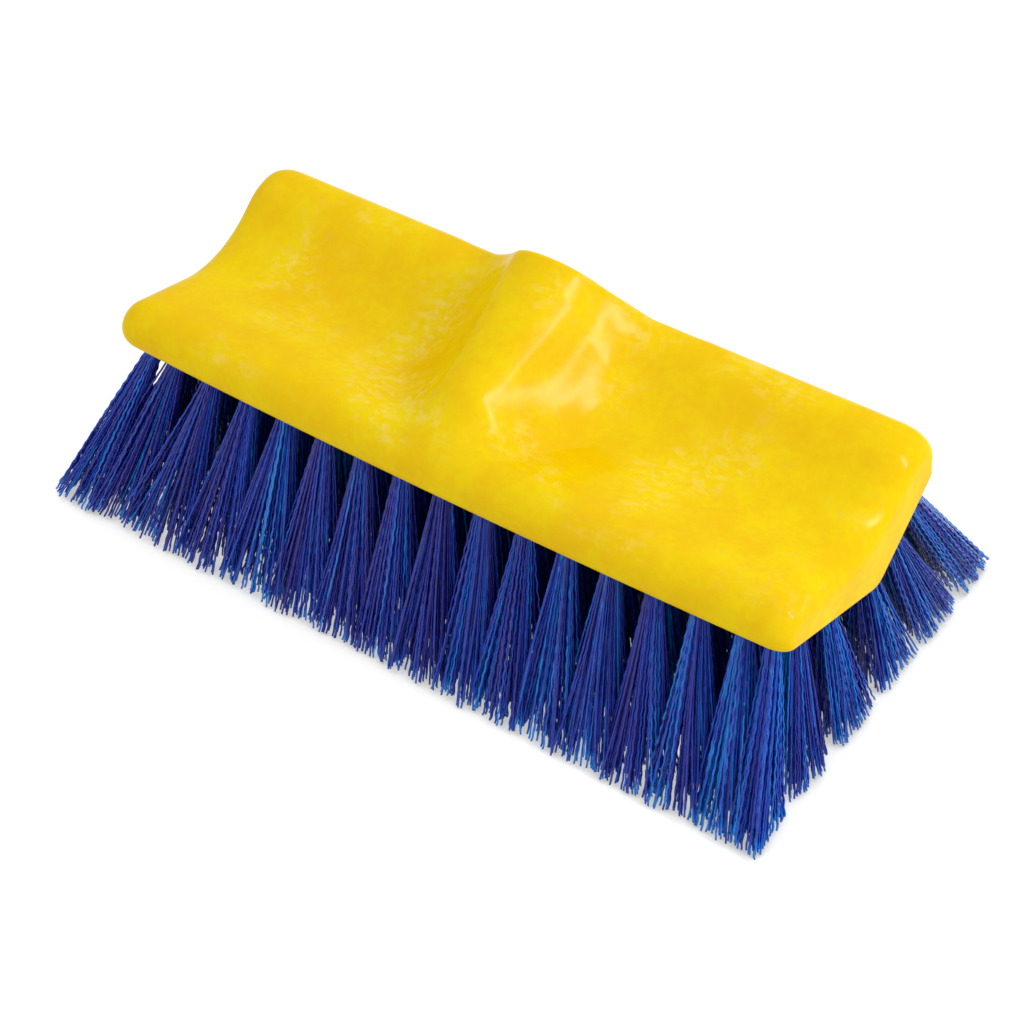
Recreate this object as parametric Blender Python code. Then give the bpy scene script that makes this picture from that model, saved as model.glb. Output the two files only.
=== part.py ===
# Floor scrub brush head, ten inches long, lying on its bristle tips.
# One moulded block with a hollowed top, a hump that holds the handle socket, and a V-shaped
# underside. Six staggered rows of tufts fan out from the underside to one flat plane of tips.
# Metres, +Z up. X runs along the block, -Y is the low near side, +Y the high far side.

import math

import bmesh
import bpy
from mathutils import Matrix, Vector
from mathutils.geometry import delaunay_2d_cdt

# Block, seen in section across its length
BLOCK_LENGTH = 0.254
NEAR_EDGE_HEIGHT = 0.0705
NEAR_FACE_LENGTH = 0.0622
NEAR_FACE_TILT_DEG = 18.1
FAR_FACE_LENGTH = 0.0416
FAR_FACE_TILT_DEG = 41.0
NEAR_SIDE_HEIGHT = 0.0178
NEAR_SIDE_LEAN = 0.0017
FAR_SIDE_HEIGHT = 0.0198
FAR_SIDE_LEAN = 0.0038
FAR_TOP_WIDTH = 0.0157
FAR_TOP_DROP = 0.0019
TROUGH_DEPTH = 0.0105
TROUGH_PLACE_SHARE = 0.70
NEAR_SIDE_BOW = 0.0024

# Radii of the section's corners
NEAR_BOTTOM_RADIUS = 0.0068
NEAR_NOSE_RADIUS = 0.0102
TROUGH_RADIUS = 0.035
FAR_SHOULDER_RADIUS = 0.023
FAR_NOSE_RADIUS = 0.011
FAR_BOTTOM_RADIUS = 0.0048
KNEE_RADIUS = 0.009
ARC_ROOM_SHARE = 0.97
LEAST_RADIUS_SHARE = 0.25
SHARP_EDGE_DEG = 40.0

# Rounding of the block's two ends: how far along X it starts on the top, on the two long sides
# and underneath, and how far it has moved each of them in at the very end
END_TOP_REACH = 0.012
END_TOP_INSET = 0.0077
END_SIDE_REACH = 0.0085
END_SIDE_INSET = 0.0045
END_BOTTOM_REACH = 0.006
END_BOTTOM_INSET = 0.003
END_STEPS = 7

# Hump over the handle socket
HUMP_RADIUS = 0.0168
HUMP_FOOT_RADIUS = 0.008
HUMP_FOOT_LENGTH = 0.022
HUMP_TAPER_LENGTH = 0.060
HUMP_BLEND = 0.0174
HUMP_FLANK_DEG = 55.4
CREST_TILT_DEG = 25.0
CREST_RISE = 0.0196
HUMP_REACH = 0.050
HUMP_STATIONS = 60
PLAIN_STATIONS = 4

# Handle socket: a tapered blind hole whose mouth looks up and back
SOCKET_TILT_DEG = 35.4
SOCKET_DEPTH = 0.034
SOCKET_MOUTH_RADIUS = 0.0118
SOCKET_END_RADIUS = 0.0105
SOCKET_LEAD_IN = 0.0012
MOUTH_BACKSET = 0.0103
MOUTH_RISE = 0.0063
MOUTH_FACE_REACH = 0.030
MOUTH_FLARE_DEG = 10.8
MOUTH_RIM_BLEND = 0.0042
ROUND_SIDES = 32
CUT_OVERRUN = 0.010

# Tufts: each row is a slot in the underside, filled by strips that carry two or three tufts each
TUFT_PITCH = 0.0155
CORNER_TUFT_GAP = 0.0096
ROW_END_WALL = 0.0025
TUFTS_PER_STRIP = 2
ROWS_PER_FACE = 3
NEAR_EDGE_DISTANCE = 0.010
NEAR_KNEE_DISTANCE = 0.0197
FAR_KNEE_DISTANCE = 0.0085
FAR_EDGE_DISTANCE = 0.0087
SLOT_WIDTH = 0.009
SLOT_DEPTH = 0.006
STRIP_CLEARANCE = 0.0003
TIP_LINE_START = 0.0052
TIP_ROW_SPACING = 0.0278
TIP_DRIFT = 0.0035
LEFT_SPLAY = 0.0315
RIGHT_SPLAY = 0.0065
SPLAY_POWER = 2.2
STRAND_RADIUS = 0.0013
ROOT_SPREAD = 0.0028
TIP_SPREAD_ALONG = 0.0052
TIP_SPREAD_ACROSS = 0.0078
STRANDS_AROUND = 4
STRAND_SIDES = 3
MERGE_SHARE = 0.001

ROW_NAMES = (
    "near_outer", "near_middle", "near_inner",
    "far_inner", "far_middle", "far_outer",
)


def clear_scene():
    for thing in list(bpy.data.objects):
        bpy.data.objects.remove(thing)


def plastic(name, colour, roughness):
    material = bpy.data.materials.new(name)
    material.use_nodes = True
    shader = material.node_tree.nodes["Principled BSDF"]
    shader.inputs["Base Color"].default_value = (*colour, 1.0)
    shader.inputs["Roughness"].default_value = roughness
    shader.inputs["Metallic"].default_value = 0.0
    material.diffuse_color = (*colour, 1.0)
    return material


def new_object(name, mesh_builder, material=None):
    mesh = bpy.data.meshes.new(name)
    mesh_builder.to_mesh(mesh)
    mesh_builder.free()
    thing = bpy.data.objects.new(name, mesh)
    bpy.context.scene.collection.objects.link(thing)
    if material:
        mesh.materials.append(material)
    return thing


def make_cutter(thing):
    thing.hide_render = True
    thing.display_type = "WIRE"
    return thing


def cut_out(thing, cutter):
    modifier = thing.modifiers.new(cutter.name, "BOOLEAN")
    modifier.operation = "DIFFERENCE"
    modifier.solver = "EXACT"
    modifier.object = cutter


# Section of the block

def section_places():
    """Corner places of the section as (y, z), going round from the near bottom edge."""
    near_tilt = math.radians(NEAR_FACE_TILT_DEG)
    far_tilt = math.radians(FAR_FACE_TILT_DEG)
    knee = Vector((0, NEAR_EDGE_HEIGHT - NEAR_FACE_LENGTH * math.sin(near_tilt)))
    near_bottom = Vector((-NEAR_FACE_LENGTH * math.cos(near_tilt), NEAR_EDGE_HEIGHT))
    far_bottom = knee + FAR_FACE_LENGTH * Vector((math.cos(far_tilt), math.sin(far_tilt)))
    near_top = near_bottom + Vector((-NEAR_SIDE_LEAN, NEAR_SIDE_HEIGHT))
    far_top = far_bottom + Vector((-FAR_SIDE_LEAN, FAR_SIDE_HEIGHT))
    shoulder = far_top - Vector((FAR_TOP_WIDTH, FAR_TOP_DROP))
    trough = Vector((
        near_top.x + (shoulder.x - near_top.x) * TROUGH_PLACE_SHARE,
        near_top.y - TROUGH_DEPTH,
    ))
    return {
        "near_bottom": near_bottom, "near_top": near_top, "trough": trough,
        "shoulder": shoulder, "far_top": far_top, "far_bottom": far_bottom, "knee": knee,
    }


# Each corner's radius, the facets of its arc, the facets of the straight run after it and the
# kind of side that the run lies on. The hump may lift what lies between near_top and far_top.
SECTION_CORNERS = (
    ("near_bottom", NEAR_BOTTOM_RADIUS, 5, 1, "side"),
    ("near_top", NEAR_NOSE_RADIUS, 7, 4, "top"),
    ("trough", TROUGH_RADIUS, 11, 2, "top"),
    ("shoulder", FAR_SHOULDER_RADIUS, 8, 3, "top"),
    ("far_top", FAR_NOSE_RADIUS, 11, 2, "side"),
    ("far_bottom", FAR_BOTTOM_RADIUS, 4, 1, "bottom"),
    ("knee", KNEE_RADIUS, 5, 1, "bottom"),
)

END_ROUNDS = {
    "top": (END_TOP_REACH, END_TOP_INSET),
    "side": (END_SIDE_REACH, END_SIDE_INSET),
    "bottom": (END_BOTTOM_REACH, END_BOTTOM_INSET),
}


def end_inset(kind, x):
    """How far the round of the block's nearer end has moved a kind of side in at x."""
    reach, inset = END_ROUNDS[kind]
    share = (abs(x) - (BLOCK_LENGTH / 2 - reach)) / reach
    share = min(max(share, 0), 1)
    return inset * (1 - math.sqrt(1 - share ** 2))


def inset_corner(before, corner, after, first_inset, second_inset):
    """Moves a corner inward by its own distance from each of its two sides."""
    first = (corner - before).normalized()
    second = (after - corner).normalized()
    first_normal = Vector((first.y, -first.x))
    second_normal = Vector((second.y, -second.x))
    bend = first_normal.dot(second_normal)
    shift = first_normal * (first_inset - bend * second_inset)
    shift += second_normal * (second_inset - bend * first_inset)
    return corner + shift / (1 - bend ** 2)


def half_angle_at(before, corner, after):
    return (before - corner).angle(after - corner) / 2


def arc_reaches(corners, radii):
    """How far from its corner each round starts: two rounds share a side that is short of room."""
    count = len(corners)
    wanted = [radii[index] / math.tan(half_angle_at(corners[index - 1], corners[index],
                                                    corners[(index + 1) % count]))
              for index in range(count)]
    fits = []
    for index in range(count):
        after = (index + 1) % count
        room = ARC_ROOM_SHARE * (corners[after] - corners[index]).length
        fits.append(min(1, room / (wanted[index] + wanted[after])))
    return [wanted[index] * min(fits[index - 1], fits[index]) for index in range(count)]


def arc_points(before, corner, after, reach, steps):
    """Points of the round that joins a corner's two sides, starting at reach from the corner."""
    half_angle = half_angle_at(before, corner, after)
    to_before = (before - corner).normalized()
    to_after = (after - corner).normalized()
    radius = reach * math.tan(half_angle)
    start = corner + to_before * reach
    centre = corner + (to_before + to_after).normalized() * (radius / math.sin(half_angle))
    turn = math.pi - 2 * half_angle
    if to_before.cross(to_after) < 0:
        turn = -turn
    spoke = start - centre
    points = []
    for step in range(steps + 1):
        angle = turn * step / steps
        points.append(centre + Matrix.Rotation(-angle, 2) @ spoke)
    return points


def section_arcs(x):
    """The rounds of the section's corners at x, each as a list of points."""
    places = section_places()
    names = [corner[0] for corner in SECTION_CORNERS]
    insets = [end_inset(corner[-1], x) for corner in SECTION_CORNERS]
    count = len(names)
    corners = []
    radii = []
    for index, (name, radius, steps, run, kind) in enumerate(SECTION_CORNERS):
        before = places[names[index - 1]]
        after = places[names[(index + 1) % count]]
        corners.append(inset_corner(before, places[name], after,
                                    insets[index - 1], insets[index]))
        inset = (insets[index - 1] + insets[index]) / 2
        concave = name == "trough"
        radii.append(radius + inset if concave else
                     max(radius - inset, radius * LEAST_RADIUS_SHARE))
    reaches = arc_reaches(corners, radii)
    return [arc_points(corners[index - 1], corners[index], corners[(index + 1) % count],
                       reaches[index], SECTION_CORNERS[index][2])
            for index in range(count)]


def section_points(x):
    """The closed section at x, and for each point whether the hump may lift it."""
    arcs = section_arcs(x)
    count = len(arcs)
    points = []
    liftable = []
    for index, (name, radius, steps, run, kind) in enumerate(SECTION_CORNERS):
        arc = arcs[index]
        following = arcs[(index + 1) % count][0]
        for place, point in enumerate(arc):
            points.append(point)
            first_of_nose = name == "near_top" and place == 0
            last_of_nose = name == "far_top" and place == steps
            on_top = name in ("near_top", "trough", "shoulder", "far_top")
            liftable.append(on_top and not first_of_nose and not last_of_nose)
        for part in range(1, run):
            points.append(arc[-1].lerp(following, part / run))
            liftable.append(name in ("near_top", "trough", "shoulder"))
    return points, liftable


# Hump and handle socket

def mouth_centre():
    far_top = section_places()["far_top"]
    return far_top + Vector((-MOUTH_BACKSET, MOUTH_RISE))


def socket_axis():
    tilt = math.radians(SOCKET_TILT_DEG)
    return Vector((0, math.cos(tilt), math.sin(tilt)))


def hump_height(x, y):
    """Height of the hump's skin: a ridge that rises to the socket's mouth, with round sides."""
    tilt = math.radians(SOCKET_TILT_DEG)
    rim_top = mouth_centre() + CREST_RISE * Vector((-math.sin(tilt), math.cos(tilt)))
    crest = rim_top.y + (y - rim_top.x) * math.tan(math.radians(CREST_TILT_DEG))
    near_side = section_places()["near_top"].x
    taper = min(max((y - near_side) / HUMP_TAPER_LENGTH, 0), 1)
    radius = HUMP_FOOT_RADIUS + (HUMP_RADIUS - HUMP_FOOT_RADIUS) * taper
    flank = math.radians(HUMP_FLANK_DEG)
    round_reach = radius * math.sin(flank)
    away = abs(x)
    if away < round_reach:
        return crest - radius + math.sqrt(radius ** 2 - away ** 2)
    return crest - radius + radius * math.cos(flank) - (away - round_reach) * math.tan(flank)


def mouth_face_height(x, y):
    """Height of the flat face round the mouth; it rises beyond its reach to leave the rim alone."""
    tilt = math.radians(SOCKET_TILT_DEG)
    centre = mouth_centre()
    flare = max(abs(x) - MOUTH_FACE_REACH, 0) * math.tan(math.radians(MOUTH_FLARE_DEG))
    return centre.y - (y - centre.x) / math.tan(tilt) + flare / math.sin(tilt)


def blended_max(first, second, blend):
    """The higher of two surfaces, with a soft fillet where they meet."""
    overlap = max(blend - abs(first - second), 0)
    return max(first, second) + overlap ** 2 / (4 * blend)


def lifted(x, y, z):
    """A point of the block's top, raised onto the hump and cut down to the mouth's face."""
    raised = z + (blended_max(z, hump_height(x, y), HUMP_BLEND) - z) * foot_share(y)
    return -blended_max(-raised, -mouth_face_height(x, y), MOUTH_RIM_BLEND)


def foot_share(y):
    """How much of the hump stands at y: it grows smoothly from nothing at the near side."""
    share = (y - section_places()["near_top"].x) / HUMP_FOOT_LENGTH
    share = min(max(share, 0), 1)
    return share ** 2 * (3 - 2 * share)


def station(x):
    """One ring of the block at x."""
    points, liftable = section_points(x)
    places = section_places()
    near_side = places["near_top"].x
    far_side = places["far_bottom"].x
    middle = (near_side + far_side) / 2
    half = (far_side - near_side) / 2
    bow = NEAR_SIDE_BOW * (1 - (2 * x / BLOCK_LENGTH) ** 2)
    ring = []
    for point, may_lift in zip(points, liftable):
        y, z = point
        if may_lift:
            z = lifted(x, y, z)
        toward_near = min(max((middle - y) / half, 0), 1)
        ring.append(Vector((x, y - bow * toward_near ** 2, z)))
    return ring


def station_places():
    """X of each ring: close together over the hump and round the two ends."""
    straight_end = BLOCK_LENGTH / 2 - max(reach for reach, inset in END_ROUNDS.values())
    right = [HUMP_REACH + (straight_end - HUMP_REACH) * step / PLAIN_STATIONS
             for step in range(1, PLAIN_STATIONS)]
    right += [straight_end + (BLOCK_LENGTH / 2 - straight_end)
              * math.sin(math.pi / 2 * step / END_STEPS)
              for step in range(END_STEPS + 1)]
    over_hump = [HUMP_REACH * (2 * step / HUMP_STATIONS - 1) for step in range(HUMP_STATIONS + 1)]
    return [-x for x in reversed(right)] + over_hump + right


def block_rings():
    return [station(x) for x in station_places()]


def add_loft(builder, rings):
    """Skins a list of rings with equal point counts and closes both ends."""
    loops = [[builder.verts.new(point) for point in ring] for ring in rings]
    count = len(loops[0])
    for left, right in zip(loops[:-1], loops[1:]):
        for index in range(count):
            after = (index + 1) % count
            builder.faces.new((left[index], left[after], right[after], right[index]))
    builder.faces.new(list(reversed(loops[0])))
    builder.faces.new(loops[-1])
    bmesh.ops.recalc_face_normals(builder, faces=builder.faces)


def loft(rings):
    builder = bmesh.new()
    add_loft(builder, rings)
    return builder


def turned_solid(profile):
    """A round solid about +Z from (radius, height) pairs, closed at both ends."""
    rings = []
    for radius, height in profile:
        ring = []
        for side in range(ROUND_SIDES):
            angle = 2 * math.pi * side / ROUND_SIDES
            ring.append(Vector((radius * math.cos(angle), radius * math.sin(angle), height)))
        rings.append(ring)
    return loft(rings)


def place_on_socket(thing):
    """Stands a piece made about +Z on the socket's axis, its zero height in the mouth's plane."""
    centre = mouth_centre()
    thing.location = (0, centre.x, centre.y)
    thing.rotation_mode = "QUATERNION"
    thing.rotation_quaternion = Vector((0, 0, 1)).rotation_difference(socket_axis())


def build_socket_cutter():
    cutter = new_object("socket_hole", turned_solid((
        (SOCKET_END_RADIUS, -SOCKET_DEPTH),
        (SOCKET_MOUTH_RADIUS, -SOCKET_LEAD_IN),
        (SOCKET_MOUTH_RADIUS + SOCKET_LEAD_IN + CUT_OVERRUN, CUT_OVERRUN),
    )))
    place_on_socket(cutter)
    return make_cutter(cutter)


# Tuft rows

def row_frames():
    """For each row: its middle on the underside, the way across it and the way out of it."""
    places = section_places()
    knee = places["knee"]
    near_bottom = places["near_bottom"]
    near_way = (knee - near_bottom).normalized()
    far_way = (places["far_bottom"] - knee).normalized()
    frames = []
    for row in range(len(ROW_NAMES)):
        share = row % ROWS_PER_FACE / (ROWS_PER_FACE - 1)
        if row < ROWS_PER_FACE:
            way = near_way
            span = NEAR_FACE_LENGTH - NEAR_EDGE_DISTANCE - NEAR_KNEE_DISTANCE
            middle = near_bottom + way * (NEAR_EDGE_DISTANCE + span * share)
        else:
            way = far_way
            span = FAR_FACE_LENGTH - FAR_KNEE_DISTANCE - FAR_EDGE_DISTANCE
            middle = knee + way * (FAR_KNEE_DISTANCE + span * share)
        frames.append({
            "middle": Vector((0, middle.x, middle.y)),
            "across": Vector((0, way.x, way.y)),
            "out": Vector((0, way.y, -way.x)),
            "tip_y": near_bottom.x - TIP_LINE_START + TIP_ROW_SPACING * row,
        })
    return frames


def long_row_count():
    """As many whole strips of tufts as fit between the walls at the block's two ends."""
    room = BLOCK_LENGTH - 2 * ROW_END_WALL
    return TUFTS_PER_STRIP * math.floor(room / (TUFTS_PER_STRIP * TUFT_PITCH))


def row_reach():
    """Half the length of every row's slot."""
    return TUFT_PITCH * long_row_count() / 2


def row_tuft_places(row):
    """X of each tuft in a row. Every second row is set half a pitch over, and a corner tuft
    closes each of its ends."""
    count = long_row_count() if row % 2 else long_row_count() - 1
    places = [(index - (count - 1) / 2) * TUFT_PITCH for index in range(count)]
    if row % 2:
        return places
    corner = places[-1] + CORNER_TUFT_GAP
    return [-corner, *places, corner]


def tip_x(x):
    """Where a tuft's tip lies along the block: the end tufts splay outward."""
    reach = row_reach() - TUFT_PITCH / 2
    share = min(abs(x) / reach, 1) ** SPLAY_POWER
    splay = RIGHT_SPLAY if x > 0 else -LEFT_SPLAY
    return x + TIP_DRIFT + splay * share


def bar_rings(frame, low_x, high_x, width, depth, stand_out):
    """The two end rings of a bar along X whose outer face stands a given way out of the underside."""
    rings = []
    for x in (low_x, high_x):
        ring = []
        for side, level in ((-1, stand_out), (1, stand_out), (1, -depth), (-1, -depth)):
            place = frame["middle"] + frame["across"] * (side * width / 2) + frame["out"] * level
            ring.append(Vector((x, place.y, place.z)))
        rings.append(ring)
    return rings


def build_slot_cutter():
    """The slots of all six rows as one cutter, so that they are cut in one go."""
    slots = bmesh.new()
    for frame in row_frames():
        add_loft(slots, bar_rings(frame, -row_reach(), row_reach(), SLOT_WIDTH, SLOT_DEPTH,
                                  CUT_OVERRUN))
    return make_cutter(new_object("slots", slots))


def strand_layout():
    """Places of a tuft's strands, as unit offsets along and across the row."""
    layout = [(0.0, 0.0)]
    for index in range(STRANDS_AROUND):
        angle = 2 * math.pi * (index + 0.5) / STRANDS_AROUND
        layout.append((math.cos(angle), math.sin(angle)))
    return layout


def corner_offsets():
    return [(STRAND_RADIUS * math.cos(2 * math.pi * side / STRAND_SIDES),
             STRAND_RADIUS * math.sin(2 * math.pi * side / STRAND_SIDES))
            for side in range(STRAND_SIDES)]


def strip_face(low_x, high_x, half_width, tufts):
    """The strip's outer face as triangles, with each strand's foot kept as a face of its own."""
    flat = [Vector((low_x, -half_width)), Vector((high_x, -half_width)),
            Vector((high_x, half_width)), Vector((low_x, half_width))]
    edges = [(0, 1), (1, 2), (2, 3), (3, 0)]
    feet = []
    for x in tufts:
        for along, across in strand_layout():
            foot = []
            for side_x, side_y in corner_offsets():
                foot.append(len(flat))
                flat.append(Vector((x + along * ROOT_SPREAD + side_x,
                                    across * ROOT_SPREAD + side_y)))
            edges.extend(zip(foot, foot[1:] + foot[:1]))
            feet.append((foot, x, along, across))
    found = delaunay_2d_cdt(flat, edges, [], 0, STRIP_CLEARANCE * MERGE_SHARE)
    origin = {}
    for new_index, old in enumerate(found[3]):
        for old_index in old:
            origin[new_index] = old_index
    triangles = [tuple(origin[index] for index in face) for face in found[2]]
    return flat, feet, triangles


def strips_of_row(row):
    """The tufts of each strip with the strip's two ends; the last strip takes a tuft left over."""
    places = row_tuft_places(row)
    count = len(places) // TUFTS_PER_STRIP
    firsts = [index * TUFTS_PER_STRIP for index in range(count)] + [len(places)]
    middles = [(places[first - 1] + places[first]) / 2 for first in firsts[1:-1]]
    edges = [-row_reach(), *middles, row_reach()]
    return [(places[firsts[index]:firsts[index + 1]], edges[index], edges[index + 1])
            for index in range(count)]


def build_strip(name, tufts, low_edge, high_edge, frame, material):
    """One strip of backing with the strands of its tufts growing out of it to the floor."""
    low_x = low_edge + STRIP_CLEARANCE / 2
    high_x = high_edge - STRIP_CLEARANCE / 2
    half_width = SLOT_WIDTH / 2 - STRIP_CLEARANCE
    flat, feet, triangles = strip_face(low_x, high_x, half_width, tufts)
    builder = bmesh.new()

    def on_face(point, level=0.0):
        place = frame["middle"] + frame["across"] * point.y + frame["out"] * level
        return Vector((point.x, place.y, place.z))

    outer = [builder.verts.new(on_face(point)) for point in flat]
    inner = [builder.verts.new(on_face(point, STRIP_CLEARANCE - SLOT_DEPTH)) for point in flat[:4]]
    foot_sets = {frozenset(foot) for foot, x, along, across in feet}
    for triangle in triangles:
        if frozenset(triangle) not in foot_sets:
            builder.faces.new([outer[index] for index in triangle])
    for index in range(4):
        after = (index + 1) % 4
        builder.faces.new((outer[index], outer[after], inner[after], inner[index]))
    builder.faces.new(inner)
    for foot, x, along, across in feet:
        root = sum((outer[index].co for index in foot), Vector()) / len(foot)
        tip = Vector((tip_x(x) + along * TIP_SPREAD_ALONG,
                      frame["tip_y"] + across * TIP_SPREAD_ACROSS, 0))
        way = tip - root
        ends = []
        for index in foot:
            offset = outer[index].co - root
            offset -= way * (offset.z / way.z)
            ends.append(builder.verts.new((tip.x + offset.x, tip.y + offset.y, 0)))
        for side in range(STRAND_SIDES):
            after = (side + 1) % STRAND_SIDES
            builder.faces.new((outer[foot[side]], outer[foot[after]], ends[after], ends[side]))
        builder.faces.new(ends)
    bmesh.ops.recalc_face_normals(builder, faces=builder.faces)
    return new_object(name, builder, material)


def build_tufts(material):
    strips = []
    for row, frame in enumerate(row_frames()):
        for number, (tufts, low_edge, high_edge) in enumerate(strips_of_row(row), 1):
            name = f"{ROW_NAMES[row]}_tufts_{number:02d}"
            strips.append(build_strip(name, tufts, low_edge, high_edge, frame, material))
    return strips


def build_block(material):
    block = new_object("block", loft(block_rings()), material)
    block.data.shade_smooth()
    block.data.set_sharp_from_angle(angle=math.radians(SHARP_EDGE_DEG))
    cut_out(block, build_socket_cutter())
    cut_out(block, build_slot_cutter())
    return block


def stand_on_origin(pieces):
    """Parents everything to one empty, so the box of the brush is centred over the origin."""
    low = Vector((math.inf, math.inf))
    high = Vector((-math.inf, -math.inf))
    for piece in pieces:
        for vertex in piece.data.vertices:
            for axis in range(2):
                low[axis] = min(low[axis], vertex.co[axis])
                high[axis] = max(high[axis], vertex.co[axis])
    middle = (low + high) / 2
    root = bpy.data.objects.new("brush", None)
    bpy.context.scene.collection.objects.link(root)
    for thing in list(bpy.context.scene.collection.objects):
        if thing != root:
            thing.parent = root
    root.location = (-middle.x, -middle.y, 0)


def main():
    clear_scene()
    yellow = plastic("block_plastic", (0.86, 0.56, 0.02), 0.38)
    blue = plastic("bristle_fibre", (0.02, 0.05, 0.33), 0.45)
    pieces = [build_block(yellow)]
    pieces.extend(build_tufts(blue))
    stand_on_origin(pieces)


main()
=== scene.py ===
import math

import bpy
import numpy as np
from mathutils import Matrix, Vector


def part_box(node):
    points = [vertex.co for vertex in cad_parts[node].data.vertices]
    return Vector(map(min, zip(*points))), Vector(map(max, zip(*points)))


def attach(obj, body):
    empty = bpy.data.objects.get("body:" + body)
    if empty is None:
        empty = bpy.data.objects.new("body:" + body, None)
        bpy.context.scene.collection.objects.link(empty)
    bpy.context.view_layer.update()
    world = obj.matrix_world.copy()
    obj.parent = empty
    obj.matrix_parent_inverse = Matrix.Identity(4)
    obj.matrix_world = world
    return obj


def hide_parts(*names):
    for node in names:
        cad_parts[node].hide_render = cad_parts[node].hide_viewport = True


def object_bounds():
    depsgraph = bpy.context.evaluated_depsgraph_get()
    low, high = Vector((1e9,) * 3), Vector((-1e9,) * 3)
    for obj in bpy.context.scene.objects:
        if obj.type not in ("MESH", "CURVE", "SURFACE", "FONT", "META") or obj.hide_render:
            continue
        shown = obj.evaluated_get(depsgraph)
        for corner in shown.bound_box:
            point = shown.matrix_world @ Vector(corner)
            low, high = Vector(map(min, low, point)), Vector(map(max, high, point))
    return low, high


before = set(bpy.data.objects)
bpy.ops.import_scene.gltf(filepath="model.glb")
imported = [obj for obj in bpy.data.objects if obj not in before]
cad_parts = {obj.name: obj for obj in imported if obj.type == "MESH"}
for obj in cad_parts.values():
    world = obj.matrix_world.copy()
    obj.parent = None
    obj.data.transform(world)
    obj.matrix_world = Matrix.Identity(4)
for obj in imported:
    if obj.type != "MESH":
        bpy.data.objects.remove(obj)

# Floor scrub brush head: a smooth moulded block and full crimped tufts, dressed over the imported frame.
# Metres. X runs along the block, -Y is its low near side and +Y its high far side.

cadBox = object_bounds()
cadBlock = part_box("block")
print("frame loaded:", len(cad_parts), "nodes")


# Block. Its section is (y, z), with y = 0 at the knee of the underside and z = 0 on the floor.

blockSet = {
    "length": (cadBlock[1] - cadBlock[0]).x,
    "nearEdgeHeight": 0.0705, "nearFace": 0.0622, "nearTilt": 18.1,
    "farFace": 0.0416, "farTilt": 41.0,
    "nearSide": (-0.0017, 0.0178), "farSide": (-0.0038, 0.0198),
    "farTopWidth": 0.0157, "farTopDrop": 0.0019, "troughDepth": 0.0105, "troughPlace": 0.70,
    "nearBow": 0.0024,
    # corner: radius, facets of its round, spacing of the points on the side after it, kind of that side
    "corners": {
        "nearBottom": (0.0068, 16, 0.0012, "side"), "nearTop": (0.0102, 24, 0.0010, "top"),
        "trough": (0.035, 40, 0.0010, "top"), "shoulder": (0.023, 24, 0.0006, "top"),
        "farTop": (0.011, 28, 0.0014, "side"), "farBottom": (0.0048, 12, 0.0020, "bottom"),
        "knee": (0.009, 14, 0.0020, "bottom"),
    },
    # shares: of a side that two rounds may fill, of a radius that is left, of a side that stays straight
    "arcRoom": 0.97, "leastRadiusShare": 0.25, "straightShare": 0.7,
    # kind of side: how far along X its end round starts, how far it has moved the side in at the end
    "endRounds": {"top": (0.012, 0.0077), "side": (0.0085, 0.0045), "bottom": (0.006, 0.003)},
    "endSteps": 26, "endFaceRim": 0.0006, "plainStep": 0.0022, "humpStep": 0.0008,
    "sharpAngle": 38.0,
}


def sectionPlaces():
    near, far = math.radians(blockSet["nearTilt"]), math.radians(blockSet["farTilt"])
    knee = np.array([0, blockSet["nearEdgeHeight"] - blockSet["nearFace"] * math.sin(near)])
    nearBottom = np.array([-blockSet["nearFace"] * math.cos(near), blockSet["nearEdgeHeight"]])
    farBottom = knee + blockSet["farFace"] * np.array([math.cos(far), math.sin(far)])
    nearTop = nearBottom + blockSet["nearSide"]
    farTop = farBottom + blockSet["farSide"]
    shoulder = farTop - (blockSet["farTopWidth"], blockSet["farTopDrop"])
    trough = np.array([nearTop[0] + (shoulder[0] - nearTop[0]) * blockSet["troughPlace"],
                       nearTop[1] - blockSet["troughDepth"]])
    return {"nearBottom": nearBottom, "nearTop": nearTop, "trough": trough, "shoulder": shoulder,
            "farTop": farTop, "farBottom": farBottom, "knee": knee}


places = sectionPlaces()
cornerNames = list(blockSet["corners"])
topCorners = ("nearTop", "trough", "shoulder", "farTop")


def unit(v):
    return v / np.linalg.norm(v)


def endInset(kind, x):
    # how far the round of the nearer end has moved a kind of side in at x
    reach, inset = blockSet["endRounds"][kind]
    share = min(max((abs(x) - (blockSet["length"] / 2 - reach)) / reach, 0), 1)
    return inset * (1 - math.sqrt(1 - share ** 2))


def cornerMovedIn(before, corner, after, firstInset, secondInset):
    # where the two sides of a corner meet once each has moved in by its own inset
    first, second = unit(corner - before), unit(after - corner)
    firstNormal, secondNormal = np.array([first[1], -first[0]]), np.array([second[1], -second[0]])
    bend = firstNormal @ secondNormal
    shift = (firstNormal * (firstInset - bend * secondInset)
             + secondNormal * (secondInset - bend * firstInset))
    return corner + shift / (1 - bend ** 2)


def halfAngle(before, corner, after):
    return math.acos(np.clip(unit(before - corner) @ unit(after - corner), -1, 1)) / 2


def arcReaches(corners, radii):
    # two rounds share the side between them where it is short of room
    count = len(corners)
    wanted = [radii[i] / math.tan(halfAngle(corners[i - 1], corners[i], corners[(i + 1) % count]))
              for i in range(count)]
    fits = [min(1, blockSet["arcRoom"] * np.linalg.norm(corners[(i + 1) % count] - corners[i])
                / (wanted[i] + wanted[(i + 1) % count])) for i in range(count)]
    return [wanted[i] * min(fits[i - 1], fits[i]) for i in range(count)]


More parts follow.
